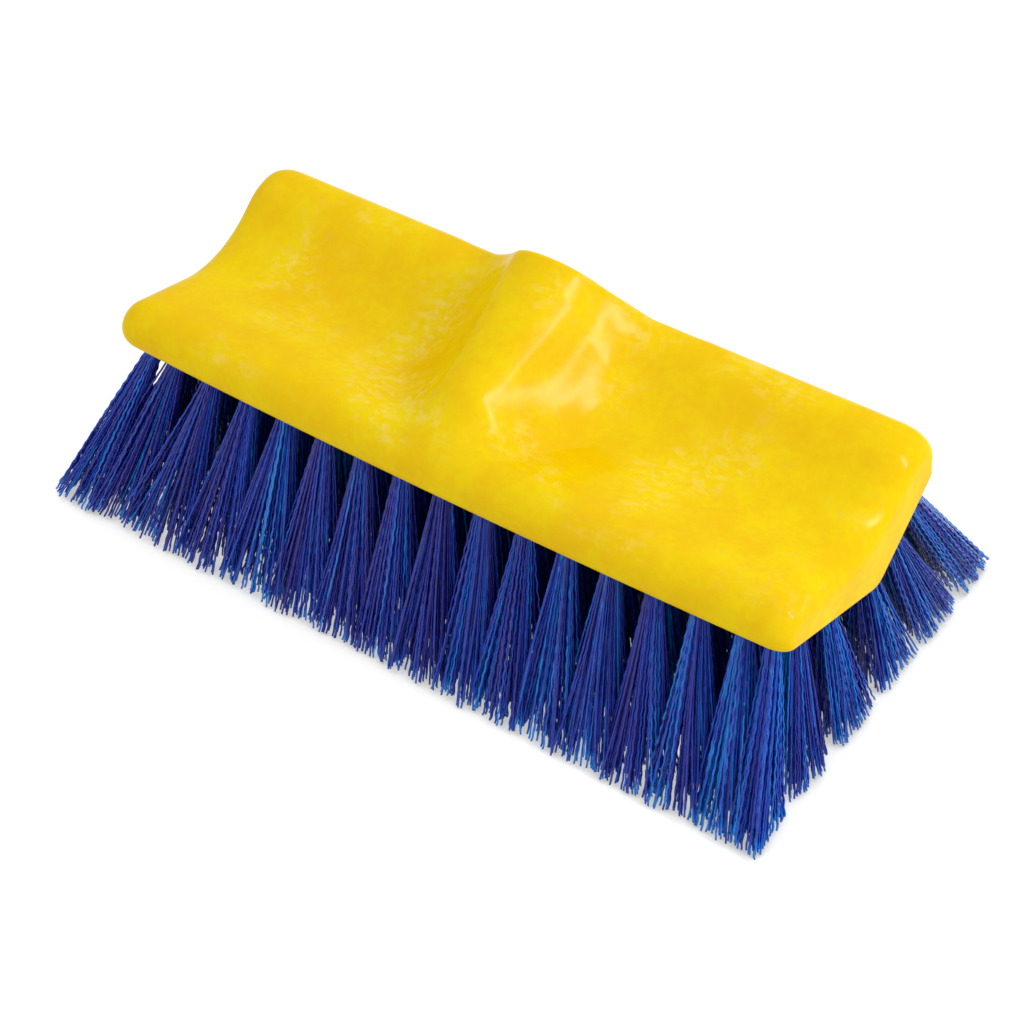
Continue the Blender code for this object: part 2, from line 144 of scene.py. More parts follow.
def roundOff(before, corner, after, reach, steps):
    # the points of the arc that starts and ends at reach from the corner
    half = halfAngle(before, corner, after)
    toBefore, toAfter = unit(before - corner), unit(after - corner)
    start = corner + toBefore * reach
    centre = corner + unit(toBefore + toAfter) * reach * math.tan(half) / math.sin(half)
    turn = math.pi - 2 * half
    if toBefore[0] * toAfter[1] - toBefore[1] * toAfter[0] > 0:
        turn = -turn
    angle = turn * np.arange(steps + 1) / steps
    spoke = start - centre
    return centre + np.stack([spoke[0] * np.cos(angle) - spoke[1] * np.sin(angle),
                              spoke[0] * np.sin(angle) + spoke[1] * np.cos(angle)], 1)


def sectionPoints(x, extraInset):
    # the plain section at x, and which of its points lie on the top, where the hump may lift them
    count = len(cornerNames)
    insets = [endInset(blockSet["corners"][name][3], x) + extraInset for name in cornerNames]
    moved = [cornerMovedIn(places[cornerNames[i - 1]], places[name], places[cornerNames[(i + 1) % count]],
                           insets[i - 1], insets[i])
             for i, name in enumerate(cornerNames)]
    radii = []
    for i, name in enumerate(cornerNames):
        radius, inset = blockSet["corners"][name][0], (insets[i - 1] + insets[i]) / 2
        radii.append(radius + inset if name == "trough" else
                     max(radius - inset, radius * blockSet["leastRadiusShare"]))
    reaches = arcReaches(moved, radii)
    arcs = [roundOff(moved[i - 1], moved[i], moved[(i + 1) % count], reaches[i],
                     blockSet["corners"][name][1]) for i, name in enumerate(cornerNames)]
    points, onTop = [], []
    for i, name in enumerate(cornerNames):
        arc, following = arcs[i], arcs[(i + 1) % count][0]
        points.append(arc)
        top = np.full(len(arc), name in topCorners)
        if name == topCorners[0]:
            top[0] = False
        if name == topCorners[-1]:
            top[-1] = False
        onTop.append(top)
        run = sideFacets[name]
        share = np.arange(1, run)[:, None] / run
        points.append(arc[-1] + (following - arc[-1]) * share)
        onTop.append(np.full(run - 1, name in topCorners[:-1]))
    return np.concatenate(points), np.concatenate(onTop)


def facetCounts():
    # how many facets each straight side gets, from its length and the spacing set for it
    counts = {}
    for i, name in enumerate(cornerNames):
        after = cornerNames[(i + 1) % len(cornerNames)]
        length = np.linalg.norm(places[after] - places[name])
        counts[name] = max(2, round(length * blockSet["straightShare"] / blockSet["corners"][name][2]))
    return counts


sideFacets = facetCounts()


# Hump and the handle socket in its slanted face

humpSet = {
    "radius": 0.0168, "footRadius": 0.008, "footLength": 0.022, "taperLength": 0.060,
    "blend": 0.0174, "flank": 55.4, "crestTilt": 25.0, "crestRise": 0.0196, "reach": 0.050,
    # a slight swell down the right flank
    "swell": 0.0009, "swellAt": 0.0240, "swellReach": 0.0030,
    "faceReach": 0.030, "faceFlare": 10.8, "rimBlend": 0.0042,
}

socketSet = {
    "tilt": 35.4, "mouthBack": 0.0103, "mouthRise": 0.0063, "depth": 0.034,
    "mouthRadius": 0.0118, "endRadius": 0.0105, "leadIn": 0.0012, "leadSteps": 6, "sides": 72,
    "cutterMargin": 0.001, "cutterTop": 0.012,
}

socketTilt = math.radians(socketSet["tilt"])
socketWay = np.array([math.cos(socketTilt), math.sin(socketTilt)])
mouth = places["farTop"] + (-socketSet["mouthBack"], socketSet["mouthRise"])


def humpHeight(x, y):
    # a round crown and straight flanks under a crest that climbs to the far side
    rim = mouth + humpSet["crestRise"] * np.array([-socketWay[1], socketWay[0]])
    crest = rim[1] + (y - rim[0]) * math.tan(math.radians(humpSet["crestTilt"]))
    taper = np.clip((y - places["nearTop"][0]) / humpSet["taperLength"], 0, 1)
    radius = humpSet["footRadius"] + (humpSet["radius"] - humpSet["footRadius"]) * taper
    flank = math.radians(humpSet["flank"])
    reach, away = radius * math.sin(flank), abs(x)
    crown = crest - radius + np.sqrt(np.maximum(radius ** 2 - away ** 2, 0))
    side = crest - radius + radius * math.cos(flank) - (away - reach) * math.tan(flank)
    swell = humpSet["swell"] * np.exp(-((x - humpSet["swellAt"]) / humpSet["swellReach"]) ** 2)
    return np.where(away < reach, crown, side) + swell


def softMax(a, b, blend):
    # the greater of two heights, with a fillet where they cross
    return np.maximum(a, b) + np.maximum(blend - abs(a - b), 0) ** 2 / (4 * blend)


def mouthPlane(x, y):
    # the slanted face round the socket's mouth, which falls back at its two wings
    flare = np.maximum(abs(x) - humpSet["faceReach"], 0) * math.tan(math.radians(humpSet["faceFlare"]))
    return mouth[1] - (y - mouth[0]) * socketWay[0] / socketWay[1] + flare / socketWay[1]


def blockRing(x, extraInset=0.0):
    points, onTop = sectionPoints(x, extraInset)
    y, z = points[:, 0], points[:, 1].copy()
    foot = np.clip((y - places["nearTop"][0]) / humpSet["footLength"], 0, 1)
    foot = foot ** 2 * (3 - 2 * foot)
    raised = z + (softMax(z, humpHeight(x, y), humpSet["blend"]) - z) * foot
    cut = -softMax(-raised, -mouthPlane(x, y), humpSet["rimBlend"])
    z = np.where(onTop, cut, z)
    nearY, farY = places["nearTop"][0], places["farBottom"][0]
    middle, half = (nearY + farY) / 2, (farY - nearY) / 2
    bow = blockSet["nearBow"] * (1 - (2 * x / blockSet["length"]) ** 2)
    toNear = np.clip((middle - y) / half, 0, 1)
    return np.stack([np.full(len(y), x), y - bow * toNear ** 2, z], 1)


def blockStations():
    # fine steps over the hump, coarse ones beside it, and steps that close up round each end
    half, reach = blockSet["length"] / 2, humpSet["reach"]
    straight = half - max(start for start, inset in blockSet["endRounds"].values())
    plainCount = round((straight - reach) / blockSet["plainStep"])
    humpCount = round(2 * reach / blockSet["humpStep"])
    right = [reach + (straight - reach) * i / plainCount for i in range(1, plainCount)]
    right += [straight + (half - straight) * math.sin(math.pi / 2 * i / blockSet["endSteps"])
              for i in range(blockSet["endSteps"] + 1)]
    hump = [reach * (2 * i / humpCount - 1) for i in range(humpCount + 1)]
    return [-x for x in reversed(right)] + hump + right


def blockRings():
    # a last ring inside each end face keeps its middle flat
    rings = [blockRing(x) for x in blockStations()]
    half = blockSet["length"] / 2
    return [blockRing(-half, blockSet["endFaceRim"])] + rings + [blockRing(half, blockSet["endFaceRim"])]


def meshFromLists(name, verts, faces):
    mesh = bpy.data.meshes.new(name)
    mesh.from_pydata(verts, [], faces)
    mesh.update()
    return mesh


def addObject(name, mesh, *materials):
    thing = bpy.data.objects.new(name, mesh)
    bpy.context.scene.collection.objects.link(thing)
    for material in materials:
        mesh.materials.append(material)
    return thing


def skin(rings):
    # quads between rings of equal point counts, closed at both ends
    count, size = len(rings), len(rings[0])
    verts = np.concatenate(rings).tolist()
    faces = []
    for ring in range(count - 1):
        base = ring * size
        for i in range(size):
            after = (i + 1) % size
            faces.append((base + i, base + after, base + size + after, base + size + i))
    faces.append(tuple(range(size - 1, -1, -1)))
    faces.append(tuple(range((count - 1) * size, count * size)))
    return verts, faces


def turned(profile, sides):
    # rings about +Z from (radius, height) pairs
    angle = 2 * math.pi * np.arange(sides) / sides
    return [np.stack([radius * np.cos(angle), radius * np.sin(angle), np.full(sides, height)], 1)
            for radius, height in profile]


def stoodOn(rings, centre, way):
    # turns rings made about +Z so that they stand on centre and point along way
    turn = np.array(Vector((0, 0, 1)).rotation_difference(Vector(way)).to_matrix())
    return [ring @ turn.T + centre for ring in rings]


# Tuft rows, counted from the near edge: the middle of each on the underside, and where its tips stand

rowSet = {
    "names": ("near_outer", "near_middle", "near_inner", "far_inner", "far_middle", "far_outer"),
    "perFace": 3, "nearEdge": 0.010, "nearKnee": 0.0197, "farKnee": 0.0085, "farEdge": 0.0087,
    "pitch": 0.0155, "cornerGap": 0.0096, "longCount": 16, "perStrip": 2,
    "tipStart": 0.0052, "tipSpacing": 0.0278, "tipDrift": 0.0035,
    "leftSplay": 0.0315, "rightSplay": 0.0065, "splayPower": 2.2,
}


def rowFrames():
    nearWay, farWay = unit(places["knee"] - places["nearBottom"]), unit(places["farBottom"] - places["knee"])
    frames = []
    for row, name in enumerate(rowSet["names"]):
        share = row % rowSet["perFace"] / (rowSet["perFace"] - 1)
        if row < rowSet["perFace"]:
            span = blockSet["nearFace"] - rowSet["nearEdge"] - rowSet["nearKnee"]
            middle = places["nearBottom"] + nearWay * (rowSet["nearEdge"] + span * share)
        else:
            span = blockSet["farFace"] - rowSet["farKnee"] - rowSet["farEdge"]
            middle = places["knee"] + farWay * (rowSet["farKnee"] + span * share)
        # every other row is one tuft shorter, and a corner tuft closes each of its ends
        shorter = row % 2 == 0
        count = rowSet["longCount"] - (1 if shorter else 0)
        tufts = [(i - (count - 1) / 2) * rowSet["pitch"] for i in range(count)]
        if shorter:
            corner = tufts[-1] + rowSet["cornerGap"]
            tufts = [-corner, *tufts, corner]
        tipY = places["nearBottom"][0] - rowSet["tipStart"] + rowSet["tipSpacing"] * row
        frames.append({"name": name, "middle": middle, "tipY": tipY, "tufts": tufts})
    return frames


def tipX(x):
    # the tips splay along the block, and most at its left end
    reach = rowSet["pitch"] * (rowSet["longCount"] - 1) / 2
    share = min(abs(x) / reach, 1) ** rowSet["splayPower"]
    return x + rowSet["tipDrift"] + (rowSet["rightSplay"] if x > 0 else -rowSet["leftSplay"]) * share


rows = rowFrames()


def tuftAxis(row, x):
    root = np.array([x, row["middle"][0], row["middle"][1]])
    tip = np.array([tipX(x), row["tipY"], 0.0])
    return root, tip, unit(tip - root)


def cutterFrom(shapes, name):
    # one object of several closed shapes, for a boolean cut
    verts, faces = [], []
    for rings in shapes:
        more, moreFaces = skin(rings)
        base = len(verts)
        verts += more
        faces += [tuple(base + i for i in face) for face in moreFaces]
    cutter = addObject(name, meshFromLists(name, verts, faces))
    cutter.hide_render = True
    return cutter


holeSet = {
    "radius": 0.0027, "depth": 0.007, "rim": 0.0004, "rimTop": 0.0002, "sides": 22,
    "cutterFlare": 2.5, "cutterTop": 0.004,
}


def tuftHoles():
    radius, rim = holeSet["radius"], holeSet["rim"]
    profile = [(radius, -holeSet["depth"]), (radius, -rim), (radius + rim, holeSet["rimTop"]),
               (radius + holeSet["cutterFlare"] * rim, holeSet["cutterTop"])]
    shapes = []
    for row in rows:
        for x in row["tufts"]:
            root, tip, way = tuftAxis(row, x)
            shapes.append(stoodOn(turned(profile, holeSet["sides"]), root, way))
    return cutterFrom(shapes, "tuftHoles")


def socketBore():
    lead, radius, steps = socketSet["leadIn"], socketSet["mouthRadius"], socketSet["leadSteps"]
    profile = [(socketSet["endRadius"] - lead, -socketSet["depth"]),
               (socketSet["endRadius"], -socketSet["depth"] + lead), (radius, -lead)]
    for i in range(1, steps + 1):
        angle = math.pi / 2 * i / steps  # the rounded lead-in of the mouth
        profile.append((radius + lead * (1 - math.cos(angle)), -lead + lead * math.sin(angle)))
    profile.append((radius + lead + socketSet["cutterMargin"], socketSet["cutterTop"]))
    rings = stoodOn(turned(profile, socketSet["sides"]), np.array([0, mouth[0], mouth[1]]),
                    (0, socketWay[0], socketWay[1]))
    return cutterFrom([rings], "socketBore")


def cutBy(thing, cutters):
    # the mesh of a thing with its cutters taken out of it, and all of them removed
    for cutter in cutters:
        cut = thing.modifiers.new(cutter.name, "BOOLEAN")
        cut.operation, cut.solver, cut.object = "DIFFERENCE", "EXACT", cutter
    made = thing.evaluated_get(bpy.context.evaluated_depsgraph_get())
    mesh = bpy.data.meshes.new_from_object(made)
    for used in [thing] + cutters:
        bpy.data.objects.remove(used)
    return mesh


def buildBlock():
    verts, faces = skin(blockRings())
    rough = addObject("blockRough", meshFromLists("blockRough", verts, faces))
    mesh = cutBy(rough, [socketBore(), tuftHoles()])
    mesh.name = "moulded_block"
    mesh.materials.clear()
    coords = np.zeros(len(mesh.vertices) * 3, np.float32)
    mesh.vertices.foreach_get("co", coords)
    coords = coords.reshape(-1, 3)
    low = np.array(cadBlock[0]) - coords.min(0)
    high = np.array(cadBlock[1]) - coords.max(0)
    shift = (low + high) / 2
    shift[2] = 0  # its height over the floor is right already
    coords += shift
    mesh.vertices.foreach_set("co", coords.ravel())
    mesh.shade_smooth()
    mesh.set_sharp_from_angle(angle=math.radians(blockSet["sharpAngle"]))
    mesh.update()
    return mesh, shift


blockMesh, toWorld = buildBlock()
print("block:", len(blockMesh.vertices), "points, moved by", toWorld.round(6).tolist())


# Shader sums. A Wire is a node's output, and plain arithmetic on it adds Math nodes.

class Wire:
    def __init__(self, kit, socket):
        self.kit, self.socket = kit, socket

    def beside(self, name):
        # another output of the same node
        return Wire(self.kit, self.socket.node.outputs[name])

    def maths(self, operation, first, second):
        return self.kit.node("ShaderNodeMath", {"operation": operation}, {0: first, 1: second})

    def __add__(self, other):
        return self.maths("ADD", self, other)

    def __radd__(self, other):
        return self.maths("ADD", other, self)

    def __sub__(self, other):
        return self.maths("SUBTRACT", self, other)

    def __rsub__(self, other):
        return self.maths("SUBTRACT", other, self)

    def __mul__(self, other):
        return self.maths("MULTIPLY", self, other)

    def __rmul__(self, other):
        return self.maths("MULTIPLY", other, self)


class NodeKit:
    # adds nodes to the tree of one material, or of the world
    def __init__(self, tree):
        self.tree = tree
        tree.nodes.clear()

    def node(self, kind, settings=None, values=None, out=0):
        # settings come first, then a value or a wire for each socket named
        made = self.tree.nodes.new(kind)
        for key, value in (settings or {}).items():
            setattr(made, key, value)
        for key, value in (values or {}).items():
            if isinstance(value, Wire):
                self.tree.links.new(value.socket, made.inputs[key])
            else:
                made.inputs[key].default_value = value
        return Wire(self, made.outputs[out]) if made.outputs else None

    def noise(self, where, scale, detail, roughness, distortion=0.0):
        return self.node("ShaderNodeTexNoise", {"noise_dimensions": "3D"},
                         {"Vector": where, "Scale": scale, "Detail": detail,
                          "Roughness": roughness, "Distortion": distortion})

    def spread(self, value, low, high):
        # 0 up to low and 1 from high on, with a soft change between them
        return self.node("ShaderNodeMapRange", {"interpolation_type": "SMOOTHSTEP"},
                         {0: value, 1: low, 2: high, 3: 0.0, 4: 1.0})

    def blendColours(self, share, first, second):
        # sockets 0, 6 and 7 of a colour mix are its share and its two colours, and output 2 its result
        return self.node("ShaderNodeMix", {"data_type": "RGBA"}, {0: share, 6: first, 7: second}, 2)

    def bump(self, distance, height, normal=None):
        values = {"Strength": 1.0, "Distance": distance, "Height": height}
        if normal:
            values["Normal"] = normal
        return self.node("ShaderNodeBump", None, values)

    def seen(self):
        # 1 for a view of the thing, straight or mirrored or through plastic, and 0 for light that it sends on
        camera = self.node("ShaderNodeLightPath", out="Is Camera Ray")
        return camera + camera.beside("Is Glossy Ray") + camera.beside("Is Transmission Ray")


def newMaterial(name):
    material = bpy.data.materials.new(name)
    material.use_nodes = True
    return material, NodeKit(material.node_tree)


def shade(red, green, blue):
    # a colour written as 0 to 255 on the screen, as the shader wants it
    linear = [((c / 255 + 0.055) / 1.055) ** 2.4 if c > 10 else c / 255 / 12.92 for c in (red, green, blue)]
    return (*linear, 1.0)


white = shade(255, 255, 255)
noiseMiddle = 0.5


# Yellow plastic of the block

plasticSet = {
    # the pale cream is partly scuffed wear and partly painted sheen
    "base": shade(250, 218, 1), "deep": shade(246, 199, 3), "scuffAndSheen": shade(250, 222, 118),
    # noises: scale, detail, roughness, and distortion where there is any
    "mottle": (46.0, 4.0, 0.6), "fine": (420.0, 5.0, 0.65),
    "patch": (24.0, 4.0, 0.6), "streak": (430.0, 3.0, 0.6, 0.15),
    "wave": (22.0, 1.0, 0.4), "grain": (1500.0, 2.0, 0.6),
    # where a noise starts to count and where it counts in full
    "toneEdges": (0.35, 0.68), "patchEdges": (0.47, 0.66), "streakEdges": (0.44, 0.68),
    "upEdges": (0.45, 0.8),
    "mottleShare": 0.7, "fineShare": 0.3, "streakStretch": (0.6, 0.8, 1.0), "scuffAndSheenCover": 0.48,
    "roughness": 0.13, "fineRoughness": 0.10, "scuffAndSheenRoughness": 0.14,
    "index": 1.05, "shine": 13.0, "waveHeight": 0.00022, "grainHeight": 0.00002,
}


def facingUp(kit):
    # the scuffs and the painted sheen keep to what faces up
    facing = kit.node("ShaderNodeTexCoord", out="Normal")
    height = kit.node("ShaderNodeSeparateXYZ", None, {0: facing}, "Z")
    return kit.spread(height, *plasticSet["upEdges"])


def yellowPlastic():
    p = plasticSet
    material, kit = newMaterial("yellow_plastic")
    where = kit.node("ShaderNodeTexCoord", out="Object")
    mottle = kit.noise(where, *p["mottle"])
    fine = kit.noise(where, *p["fine"])
    stretched = kit.node("ShaderNodeVectorMath", {"operation": "MULTIPLY"}, {0: where, 1: p["streakStretch"]})
    patch = kit.spread(kit.noise(where, *p["patch"]), *p["patchEdges"]) * facingUp(kit)
    # pale cream flecks in patches: partly scuffed wear, partly a painted sheen on what faces up
    scuffAndSheen = kit.spread(kit.noise(stretched, *p["streak"]), *p["streakEdges"]) * patch
    tone = kit.spread(mottle * p["mottleShare"] + fine * p["fineShare"], *p["toneEdges"])
    colour = kit.blendColours(tone, p["deep"], p["base"])
    colour = kit.blendColours(scuffAndSheen * p["scuffAndSheenCover"], colour, p["scuffAndSheen"])
    wave = kit.bump(p["waveHeight"], kit.noise(where, *p["wave"]))
    kit.node("ShaderNodeOutputMaterial", None, {"Surface": kit.node("ShaderNodeBsdfPrincipled", None, {
        "Base Color": colour,
        "Roughness": p["roughness"] + (fine - noiseMiddle) * p["fineRoughness"] + scuffAndSheen * p["scuffAndSheenRoughness"],
        "Normal": kit.bump(p["grainHeight"], kit.noise(where, *p["grain"]), wave),
        "IOR": p["index"], "Specular Tint": (p["shine"],) * 3 + (1.0,),
    })})
    return material


# Blue fibre of the tufts

fibreSet = {
    "violet": shade(36, 32, 144), "blue": shade(16, 62, 188), "azure": shade(8, 136, 236),
    # painted glints: the colour brightens and darkens in short dashes along each filament
    "paintedGlints": 9.0, "paintedGlintSpread": 60.0, "paintedGlintNoise": (1.0, 2.0, 0.5), "paintedGlintDepth": 0.80, "paintedGlintRoughness": 0.2,
    # painted light: the cut tips are coloured brighter
    "paintedTipLightEdges": (0.90, 1.0), "paintedTipLight": 0.28,
    "blueEdges": (0.10, 0.58), "azureEdges": (0.50, 0.86),
    "roughness": 0.24, "gloss": 0.40, "index": 1.49,
}


def blueFibre():
    f = fibreSet
    material, kit = newMaterial("blue_fibre")
    tone = kit.node("ShaderNodeAttribute", {"attribute_name": "strandTone"}, out="Fac")
    reach = kit.node("ShaderNodeAttribute", {"attribute_name": "strandReach"}, out="Fac")
    along = kit.node("ShaderNodeCombineXYZ", None,
                     {0: reach * f["paintedGlints"], 1: tone * f["paintedGlintSpread"], 2: 0.0})
    # painted glints in dashes along each filament, which also vary its roughness
    paintedGlint = kit.noise(along, *f["paintedGlintNoise"]) - noiseMiddle
    # the painted glints and the painted light at the tips raise the tone
    level = tone + paintedGlint * f["paintedGlintDepth"] + kit.spread(reach, *f["paintedTipLightEdges"]) * f["paintedTipLight"]
    colour = kit.blendColours(kit.spread(level, *f["blueEdges"]), f["violet"], f["blue"])
    colour = kit.blendColours(kit.spread(level, *f["azureEdges"]), colour, f["azure"])
    kit.node("ShaderNodeOutputMaterial", None, {"Surface": kit.node("ShaderNodeBsdfPrincipled", None, {
        "Base Color": colour, "Roughness": f["roughness"] + paintedGlint * f["paintedGlintRoughness"],
        "Specular IOR Level": f["gloss"], "IOR": f["index"],
    })})
    return material


plastic, fibre = yellowPlastic(), blueFibre()
print("materials made")

block = addObject("moulded_block", blockMesh, plastic)
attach(block, "root")
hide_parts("block")


# Bristles: each tuft is a bundle of crimped filaments that leaves its hole and fans out to the floor

bristleSet = {
    "perTuft": 120, "radius": 0.00038, "sides": 3, "ringStep": 0.0013,
    "rootRadius": 0.0020, "rootDepth": 0.004,
    # a fan reaches this share of the way to the tips of each neighbour, in its row and in the next row
    "reachAlong": 0.72, "reachAcross": 0.46, "endReach": 0.0108,
    "spreadPower": 1.22, "rimPower": 0.46, "squareness": 0.75, "jitter": 0.07,
    "locks": 9, "lockRing": 0.68, "lockJitter": 0.14, "lockPull": 0.20,
    "crimpLength": 0.0050, "crimpSpread": 0.03, "crimpReach": 0.00017, "crimpPhase": 0.30, "crimpTurn": 0.25,
    "wander": 0.0007, "lockLift": 0.0006, "tipLift": 0.0005, "shortShare": 0.07, "shortLift": 0.0050,
    "strayShare": 0.04, "strayReach": 0.0035, "strayCrimp": 1.5,
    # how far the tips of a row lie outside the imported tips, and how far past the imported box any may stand
    "rowShift": {"near_outer": -0.0022, "far_outer": 0.0010},
    "pastLow": (0.0074, 0.0038), "pastHigh": (-0.0015, 0.0038),
    # tone, how much it varies by lock, filament and tuft, how much painted light makes the right end paler,
    # and its limit
    "tone": 0.36, "lockTone": 0.09, "filamentTone": 0.15, "tuftTone": 0.04, "paintedLightRightEnd": 0.24, "mostTone": 1.2,
    "seed": 20417,
}
chance = np.random.default_rng(bristleSet["seed"])
boxLow, boxHigh = np.array(cadBox[0]) - toWorld, np.array(cadBox[1]) - toWorld
tipLow = boxLow[:2] - bristleSet["pastLow"]
tipHigh = boxHigh[:2] + bristleSet["pastHigh"]
awayFromAll = (0.3, 0.9, 0.1)  # no filament points this way
goldenAngle = math.pi * (3 - math.sqrt(5))
nextToNothing = 1e-6  # keeps a division from one by 0


def lockPlaces(count):
    # one lock in the middle of the tuft and the rest in a ring round it
    angle = 2 * math.pi * (np.arange(count - 1) + chance.random()) / (count - 1)
    ring = np.stack([np.cos(angle), np.sin(angle)], 1) * bristleSet["lockRing"]
    return np.concatenate([[(0, 0)], ring]) + chance.normal(0, bristleSet["lockJitter"], (count, 2))


def fanReach(row, x):
    # how far the tips spread to the left, to the right, to the near side and to the far side
    s = bristleSet
    tips = [tipX(tuft) for tuft in row["tufts"]]
    at = row["tufts"].index(x)
    left = (tips[at] - tips[at - 1]) * s["reachAlong"] if at else s["endReach"]
    right = (tips[at + 1] - tips[at]) * s["reachAlong"] if at + 1 < len(tips) else s["endReach"]
    across = rowSet["tipSpacing"] * s["reachAcross"]
    return np.array([left, across]), np.array([right, across])


def tuftSpots():
    # where each filament stands in a tuft of radius 1, at its root and at its tip, and its lock there
    s = bristleSet
    count = s["perTuft"]
    turns = goldenAngle * np.arange(count) + 2 * math.pi * chance.random()
    rim = ((np.arange(count) + 0.5) / count) ** s["rimPower"]
    even = rim[:, None] * np.stack([np.cos(turns), np.sin(turns)], 1)
    lockAt = lockPlaces(s["locks"])
    lock = np.argmin(np.linalg.norm(even[:, None] - lockAt, axis=2), axis=1)
    spot = even + (lockAt[lock] - even) * s["lockPull"] + chance.normal(0, s["jitter"], (count, 2))
    # neighbouring fans meet along straight edges, so each is nearer a square than a disc
    stretch = np.linalg.norm(spot, axis=1) / np.maximum(abs(spot).max(1), nextToNothing)
    return even, spot * (1 + (stretch - 1) * s["squareness"])[:, None], lock


def tuftTips(row, x, tip, spot, lock):
    # how far each filament's tip stands from the tip of the tuft's axis, and which filaments are stray
    s = bristleSet
    count = len(spot)
    stray = (chance.random(count) < s["strayShare"])[:, None]
    low, high = fanReach(row, x)
    fan = np.where(spot < 0, np.minimum(low, tip[:2] - tipLow), np.minimum(high, tipHigh - tip[:2]))
    end = spot * fan + stray * chance.normal(0, s["strayReach"], (count, 2))
    end = np.clip(tip[:2] + end, tipLow, tipHigh) - tip[:2]
    short = chance.random(count) < s["shortShare"]
    lift = abs(chance.normal(0, s["lockLift"], s["locks"]))[lock]
    lift = lift + abs(chance.normal(0, s["tipLift"], count)) + short * chance.random(count) * s["shortLift"]
    return np.column_stack([end, lift + s["radius"]]), stray


def crimp(along, across, travelled, lock, stray):
    # a wave that is nearly in step within a lock
    s = bristleSet
    count = len(lock)
    phase = (2 * math.pi * chance.random(s["locks"]))[lock] + chance.normal(0, s["crimpPhase"], count)
    pitch = s["crimpLength"] * (1 + chance.normal(0, s["crimpSpread"], s["locks"]))[lock]
    turn = (math.pi * chance.random(s["locks"]))[lock] + chance.normal(0, s["crimpTurn"], count)
    reach = s["crimpReach"] * (1 + (s["strayCrimp"] - 1) * stray[:, 0])
    wave = np.sin(2 * math.pi * travelled / pitch[:, None] + phase[:, None]) * reach[:, None]
    sideways = np.cos(turn)[:, None] * along + np.sin(turn)[:, None] * across
    return wave[..., None] * sideways[:, None]


def tuftFilaments(row, x):
    # the axis, the way and the tone of each filament of the tuft at x
    s = bristleSet
    root, tip, way = tuftAxis(row, x)
    tip[1] += s["rowShift"].get(row["name"], 0)
    root = root - way * s["rootDepth"]
    along = unit(np.array([1.0, 0, 0]) - way * way[0])
    across = np.cross(along, way)
    across *= 1 if across[1] > 0 else -1
    even, spot, lock = tuftSpots()
    end, stray = tuftTips(row, x, tip, spot, lock)

    length = np.linalg.norm(tip - root)
    share = np.linspace(0, 1, int(length / s["ringStep"]))[None, :, None]
    start = even * s["rootRadius"]
    rootPlace = start[:, :1] * along + start[:, 1:] * across
    axis = (root + (tip - root) * share + rootPlace[:, None] * (1 - share)
            + end[:, None] * share ** s["spreadPower"])
    bow = chance.normal(0, s["wander"], (2, len(spot), 1, 1))
    axis += np.sin(math.pi * share) * (bow[0] * along + bow[1] * across)
    axis += crimp(along, across, length * share[..., 0], lock, stray)
    axis[..., 2] = np.maximum(axis[..., 2], s["radius"])

    tone = chance.normal(s["tone"], s["lockTone"], s["locks"])[lock]
    tone = tone + chance.normal(0, s["filamentTone"], len(spot)) + chance.normal(0, s["tuftTone"])
    # painted light: the tufts are coloured paler toward the right end, where the light falls
    tone += s["paintedLightRightEnd"] * max(0, x / boxHigh[0]) ** 2
    return axis, tip + end - root - rootPlace, np.clip(tone, 0, s["mostTone"])


def meshFromFaceSets(name, verts, faceSets):
    # a mesh from arrays of faces, one array for each count of corners
    corners = np.concatenate([faces.ravel() for faces in faceSets])
    sizes = np.concatenate([np.full(len(faces), faces.shape[1]) for faces in faceSets])
    mesh = bpy.data.meshes.new(name)
    mesh.vertices.add(len(verts))
    mesh.vertices.foreach_set("co", verts.astype(np.float32).ravel())
    mesh.loops.add(len(corners))
    mesh.loops.foreach_set("vertex_index", corners.astype(np.int32))
    mesh.polygons.add(len(sizes))
    mesh.polygons.foreach_set("loop_start", (np.cumsum(sizes) - sizes).astype(np.int32))
    mesh.update(calc_edges=True)
    return mesh


def buildBristles(name, row, xs):
    # the filaments of the tufts at xs as three-sided rods, each closed at both ends
    s = bristleSet
    verts, sideFaces, endFaces, tones, reaches = [], [], [], [], []
    base, sides = 0, s["sides"]
    angle = 2 * math.pi * np.arange(sides) / sides
    for x in xs:
        axis, direction, tone = tuftFilaments(row, x)
        count, rings = axis.shape[:2]
        u = np.cross(direction, awayFromAll)
        u /= np.linalg.norm(u, axis=1)[:, None]
        v = np.cross(direction, u)
        v /= np.linalg.norm(v, axis=1)[:, None]
        spoke = np.cos(angle)[None, :, None] * u[:, None] + np.sin(angle)[None, :, None] * v[:, None]
        points = axis[:, :, None] + spoke[:, None] * s["radius"]
        index = base + np.arange(count * rings * sides).reshape(count, rings, sides)
        after = np.roll(index, -1, axis=2)
        quads = np.stack([index[:, :-1], after[:, :-1], after[:, 1:], index[:, 1:]], -1)
        verts.append(points.reshape(-1, 3))
        sideFaces.append(quads.reshape(-1, 4))
        endFaces += [index[:, 0, ::-1], index[:, -1]]
        tones.append(np.repeat(tone, rings * sides))
        reaches.append(np.tile(np.repeat(np.linspace(0, 1, rings), sides), count))
        base += count * rings * sides
    mesh = meshFromFaceSets(name, np.concatenate(verts) + toWorld,
                            [np.concatenate(sideFaces), np.concatenate(endFaces)])
    for label, values in (("strandTone", tones), ("strandReach", reaches)):
        layer = mesh.attributes.new(label, "FLOAT", "POINT")
        layer.data.foreach_set("value", np.concatenate(values).astype(np.float32))
    mesh.shade_smooth()
    return addObject(name, mesh, fibre)


